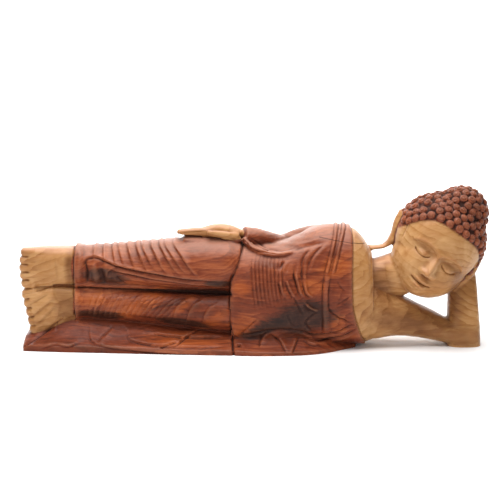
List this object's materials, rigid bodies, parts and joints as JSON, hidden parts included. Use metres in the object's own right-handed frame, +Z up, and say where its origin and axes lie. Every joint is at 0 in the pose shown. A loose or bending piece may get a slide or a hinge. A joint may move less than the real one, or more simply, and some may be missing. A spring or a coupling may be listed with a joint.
{
  "type": "reclining buddha statue",
  "caption": "Carved hardwood figure of a Buddha asleep on its side, head on one hand, on its own low base; stands on a shelf or table.",
  "frame": {"origin": "on the flat underside, on the ground under the figure's waist", "axes": "+X from the feet to the head, -Y the way the figure faces, +Z up"},
  "size_m": [0.6004, 0.1287, 0.2087],
  "materials": {
    "carved_wood": "waxed hardwood, red-brown heartwood on the robe and hair, pale sapwood on the skin, satin"
  },
  "bodies": {
    "root": {"reclining_figure": "carved_wood"}
  },
  "joints": []
}
